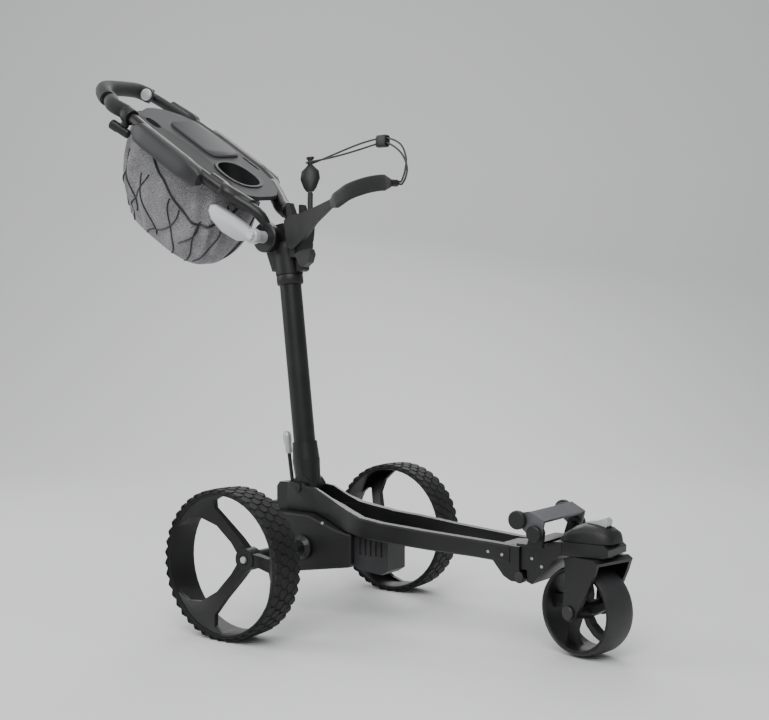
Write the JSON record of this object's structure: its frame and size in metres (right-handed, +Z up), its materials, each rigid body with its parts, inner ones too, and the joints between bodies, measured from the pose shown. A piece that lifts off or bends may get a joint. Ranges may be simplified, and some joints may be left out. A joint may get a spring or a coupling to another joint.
{
  "type": "golf push cart",
  "caption": "Folding golf push cart with caster nose wheel, bag cradle and rest, tilting handle with foam grip, storage tray, cup holder and hanging net bag.",
  "frame": {"origin": "centre of the bounding box in plan, on the ground under the wheels", "axes": "+X forward towards the caster wheel, +Y to the cart's left, +Z up"},
  "size_m": [1.3492, 0.64, 1.2164],
  "materials": {
    "black_frame": "satin black powder coat on aluminium tube",
    "black_plastic": "fine moulded grain, satin black",
    "dark_grey_plastic": "satin dark grey moulding",
    "tray_plastic": "satin grey moulding in two tones",
    "silver_metal": "satin silver paint over metal",
    "steel": "bright zinc-plated steel",
    "tyre_rubber": "matte black foam-filled rubber",
    "caster_rubber": "matte grey rubber, smooth tread",
    "foam_grip": "soft matte foam rubber",
    "net_fabric": "light grey open mesh with black piping",
    "strap_fabric": "woven black webbing over foam",
    "cord_fabric": "braided elastic cord"
  },
  "bodies": {
    "chassis": {"main_frame": "black_frame", "drive_housing": "black_plastic", "motor_block": "dark_grey_plastic", "axle_left": "steel", "axle_right": "steel", "mast_pin": "steel", "nose_pin": "steel"},
    "wheel_right": {"tyre_rear_right": "tyre_rubber", "rim_rear_right": "black_plastic", "bearing_rear_right": "steel"},
    "wheel_left": {"tyre_rear_left": "tyre_rubber", "rim_rear_left": "black_plastic", "bearing_rear_left": "steel"},
    "button_right": {"hub_button_right": "dark_grey_plastic"},
    "button_left": {"hub_button_left": "dark_grey_plastic"},
    "pedal": {"brake_pedal": "black_plastic"},
    "mast": {"mast_foot": "black_frame", "mast_tube": "black_frame", "mast_collar": "black_plastic", "mast_head": "black_plastic", "handle_bolt": "steel", "cradle_base": "black_plastic"},
    "cradle": {"cradle_arm_right": "black_plastic", "cradle_arm_left": "black_plastic", "cradle_paddle_left": "black_plastic", "bag_strap": "strap_fabric", "cord_lock": "dark_grey_plastic", "cord_clip": "black_plastic", "elastic_cord": "cord_fabric"},
    "latch": {"head_latch": "black_plastic"},
    "fold_lever": {"fold_lever": "black_plastic", "fold_lever_knob": "silver_metal"},
    "handle": {"handle_frame": "black_frame", "grip_sleeve": "foam_grip", "tray_body": "tray_plastic", "cup_holder": "black_plastic", "arm_panel_right": "dark_grey_plastic", "arm_panel_left": "dark_grey_plastic", "net_hoop": "black_plastic", "net_bag": "net_fabric", "button_housing": "dark_grey_plastic", "accessory_clamp": "black_plastic"},
    "lid": {"tray_lid": "dark_grey_plastic"},
    "button": {"handle_button": "silver_metal"},
    "tilt_lever": {"tilt_lever": "silver_metal"},
    "cradle_lever": {"cradle_lever": "dark_grey_plastic"},
    "nose": {"nose_arm": "black_frame", "nose_cover": "black_plastic", "rest_bracket": "black_plastic"},
    "catch": {"wheel_catch": "silver_metal"},
    "rest": {"rest_plate": "tray_plastic", "rest_knob_left": "silver_metal", "rest_knob_right": "silver_metal", "rest_roller_left": "dark_grey_plastic", "rest_roller_right": "dark_grey_plastic"},
    "fork": {"caster_fork": "black_frame", "caster_axle": "steel"},
    "caster_wheel": {"tyre_caster": "caster_rubber", "rim_caster": "black_plastic"},
    "accessory_knob": {"accessory_knob": "black_plastic"}
  },
  "joints": [
    {"name": "wheel_right_spin", "type": "hinge", "parent": "chassis", "child": "wheel_right", "pos_m": [-0.03532, -0.232, 0.146], "axis": [0, 1, 0], "continuous": true},
    {"name": "wheel_left_spin", "type": "hinge", "parent": "chassis", "child": "wheel_left", "pos_m": [-0.03532, 0.232, 0.146], "axis": [0, 1, 0], "continuous": true},
    {"name": "hub_button_right_press", "type": "slide", "parent": "chassis", "child": "button_right", "axis": [0, 1, 0], "range_m": [0, 0.0024], "stiffness_N_per_m": 300},
    {"name": "hub_button_left_press", "type": "slide", "parent": "chassis", "child": "button_left", "axis": [0, -1, 0], "range_m": [0, 0.0024], "stiffness_N_per_m": 300},
    {"name": "brake_pedal_tilt", "type": "hinge", "parent": "chassis", "child": "pedal", "pos_m": [-0.11832, 0, 0.2255], "axis": [0, 1, 0], "range_deg": [-15, 10]},
    {"name": "mast_fold", "type": "hinge", "parent": "chassis", "child": "mast", "pos_m": [-0.07102, 0, 0.265], "axis": [0, 1, 0], "range_deg": [0, 50]},
    {"name": "head_latch_swing", "type": "hinge", "parent": "mast", "child": "latch", "pos_m": [-0.09412, 0, 0.7561], "axis": [0, 1, 0], "range_deg": [-15, 0]},
    {"name": "fold_lever_swing", "type": "hinge", "parent": "chassis", "child": "fold_lever", "pos_m": [-0.11632, 0, 0.2695], "axis": [0, 1, 0], "range_deg": [-35, 0]},
    {"name": "handle_tilt", "type": "hinge", "parent": "mast", "child": "handle", "pos_m": [-0.15532, 0, 0.805], "axis": [0, 1, 0], "range_deg": [-15, 25]},
    {"name": "tilt_lever_swing", "type": "hinge", "parent": "handle", "child": "tilt_lever", "pos_m": [-0.15532, 0, 0.805], "axis": [0, 1, 0], "range_deg": [-30, 0]},
    {"name": "tray_lid_open", "type": "hinge", "parent": "handle", "child": "lid", "pos_m": [-0.4167, 0.08409, 1.05941], "axis": [-0.8387, 0, 0.5446], "range_deg": [0, 100]},
    {"name": "handle_button_press", "type": "slide", "parent": "handle", "child": "button", "axis": [-0.3478, 0.9376, 0.0039], "range_m": [0, 0.003], "stiffness_N_per_m": 300},
    {"name": "cradle_swing", "type": "hinge", "parent": "mast", "child": "cradle", "pos_m": [-0.0934, 0, 0.80903], "axis": [0, 1, 0], "range_deg": [0, 40]},
    {"name": "cradle_lever_swing", "type": "hinge", "parent": "mast", "child": "cradle_lever", "pos_m": [-0.07941, -0.0225, 0.76384], "axis": [0, 1, 0], "range_deg": [-15, 15]},
    {"name": "nose_fold", "type": "hinge", "parent": "chassis", "child": "nose", "pos_m": [0.48068, 0, 0.142], "axis": [0, 1, 0], "range_deg": [0, 90]},
    {"name": "wheel_catch_lift", "type": "hinge", "parent": "nose", "child": "catch", "pos_m": [0.62868, 0, 0.244], "axis": [0, 1, 0], "range_deg": [0, 25]},
    {"name": "bag_rest_tilt", "type": "hinge", "parent": "nose", "child": "rest", "pos_m": [0.52968, 0, 0.231], "axis": [0, 1, 0], "range_deg": [-30, 20]},
    {"name": "caster_swivel", "type": "hinge", "parent": "nose", "child": "fork", "pos_m": [0.62268, 0, 0.19], "axis": [0, 0, 1], "continuous": true},
    {"name": "caster_spin", "type": "hinge", "parent": "fork", "child": "caster_wheel", "pos_m": [0.58775, 0.00871, 0.0845], "axis": [0.2419, 0.9703, 0], "continuous": true},
    {"name": "accessory_knob_turn", "type": "hinge", "parent": "handle", "child": "accessory_knob", "pos_m": [-0.53307, -0.11293, 1.06511], "axis": [-0.7848, -0.3007, 0.542], "range_deg": [-90, 90]}
  ]
}
